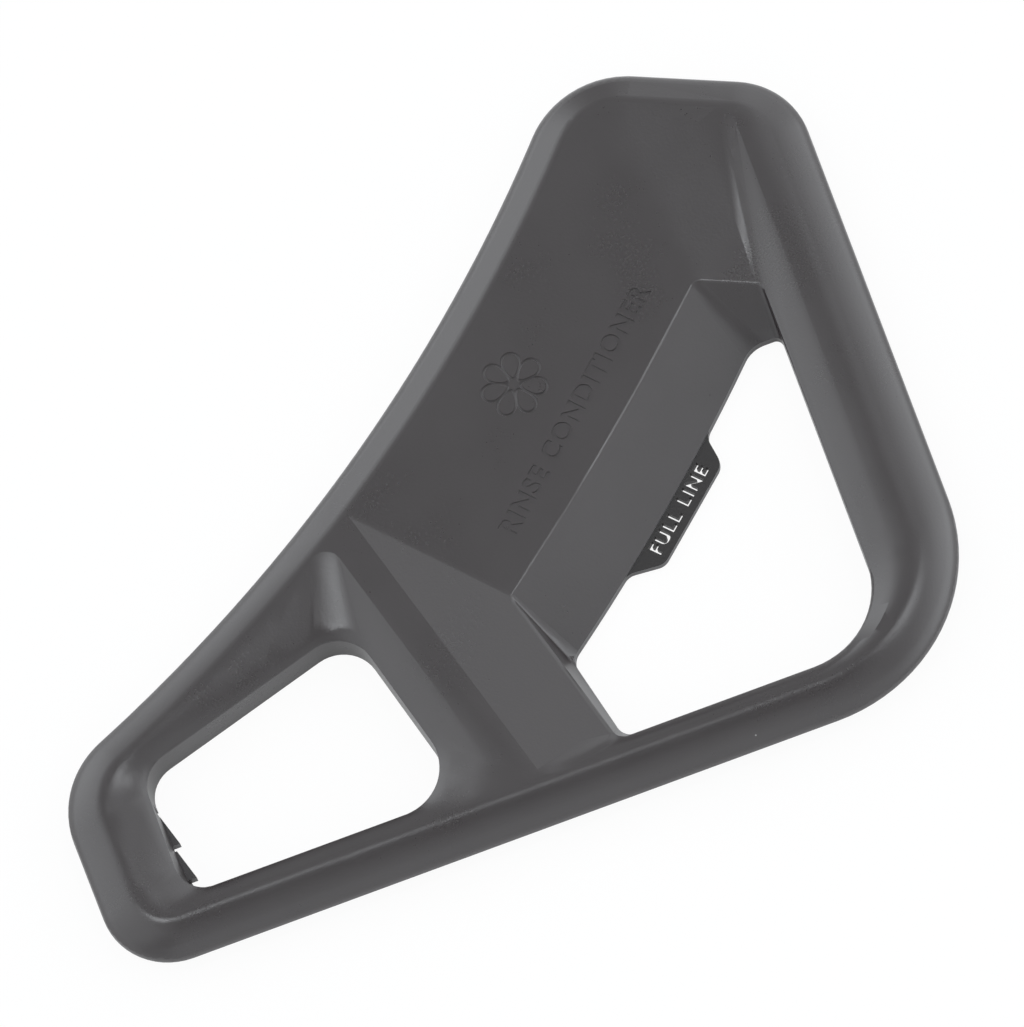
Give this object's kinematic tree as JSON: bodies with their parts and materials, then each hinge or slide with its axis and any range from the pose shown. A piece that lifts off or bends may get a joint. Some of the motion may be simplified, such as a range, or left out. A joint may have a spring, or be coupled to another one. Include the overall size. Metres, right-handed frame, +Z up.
{
  "type": "fabric softener dispenser bezel",
  "caption": "Faceted moulded bezel with a large triangular pour opening, a smaller grip opening, a crossbar between them and a fill tab.",
  "frame": {"origin": "middle of the bounding box at the lower edges of the two opening lips", "axes": "+X along the straight front side, +Z up through the openings"},
  "size_m": [0.2338, 0.1842, 0.014],
  "materials": {
    "moulded_plastic": "fine matt dark grey moulded plastic"
  },
  "bodies": {
    "root": {"softener_bezel": "moulded_plastic"}
  },
  "joints": []
}
